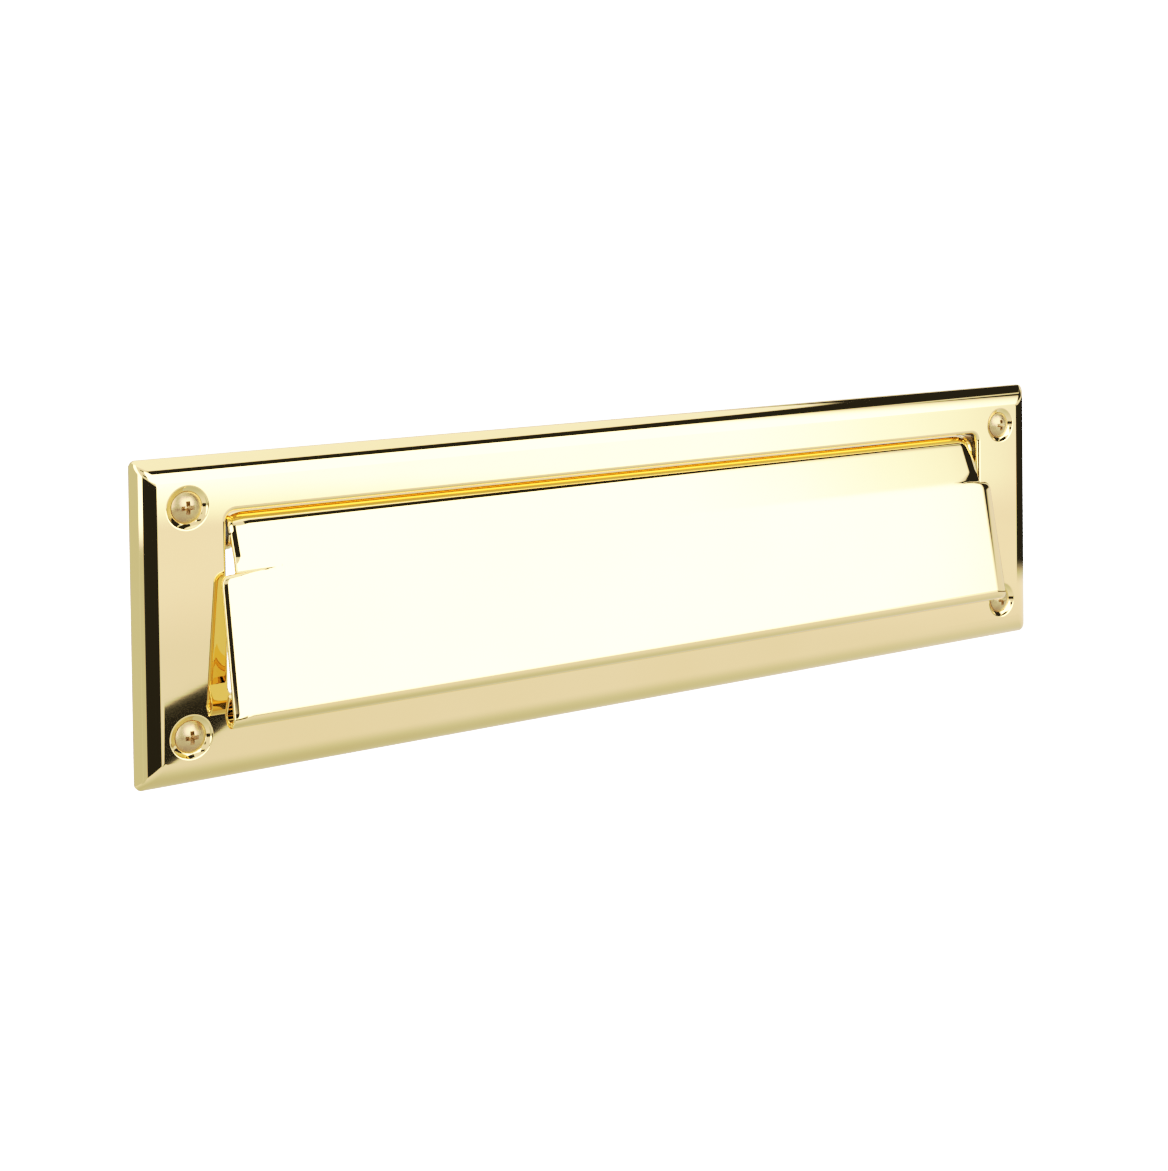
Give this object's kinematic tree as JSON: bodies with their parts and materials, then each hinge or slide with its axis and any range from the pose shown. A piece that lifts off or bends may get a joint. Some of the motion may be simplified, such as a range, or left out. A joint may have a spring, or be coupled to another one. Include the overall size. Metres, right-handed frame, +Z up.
{
  "type": "mail slot",
  "caption": "Polished brass mail slot plate with a cushion edge, a sprung overlapping flap with a rolled lower hem, and oval head screws at its corners.",
  "frame": {"origin": "centre of the four wall screws' rectangle on the plate's back plane, where it meets the wall", "axes": "+X along the plate's length, to the right as seen from the front; +Y into the wall, along the screws; +Z up"},
  "size_m": [0.3302, 0.0363, 0.0888],
  "materials": {
    "polished_brass": "mirror polished and lacquered",
    "cast_brass": "as cast, matt",
    "screw_brass": "brass plated, satin",
    "steel": "zinc plated",
    "spring_wire": "bright drawn wire",
    "nylon": "moulded, matt, black",
    "rubber": "moulded, smooth"
  },
  "bodies": {
    "plate": {"front_plate": "polished_brass", "hinge_rod": "steel", "hinge_block_left": "cast_brass", "block_screw_left_low": "steel", "block_screw_left_high": "steel", "return_spring_left": "spring_wire", "retaining_clip_left": "spring_wire", "flap_bumper_left": "rubber", "hinge_block_right": "cast_brass", "block_screw_right_low": "steel", "block_screw_right_high": "steel", "return_spring_right": "spring_wire", "retaining_clip_right": "spring_wire", "flap_bumper_right": "rubber", "mounting_screw_bottom_left": "screw_brass", "mounting_screw_bottom_right": "screw_brass", "mounting_screw_top_left": "screw_brass", "mounting_screw_top_right": "screw_brass"},
    "flap": {"flap": "polished_brass", "hinge_bush_left": "nylon", "hinge_bush_right": "nylon"}
  },
  "joints": [
    {"name": "flap_hinge", "type": "hinge", "parent": "plate", "child": "flap", "pos_m": [0, 0.0016, 0.0226], "axis": [-1, 0, 0], "range_deg": [0, 64], "stiffness_Nm_per_rad": 0.08, "springref_deg": -34.38, "deforming": ["return_spring_left", "return_spring_right"]}
  ]
}
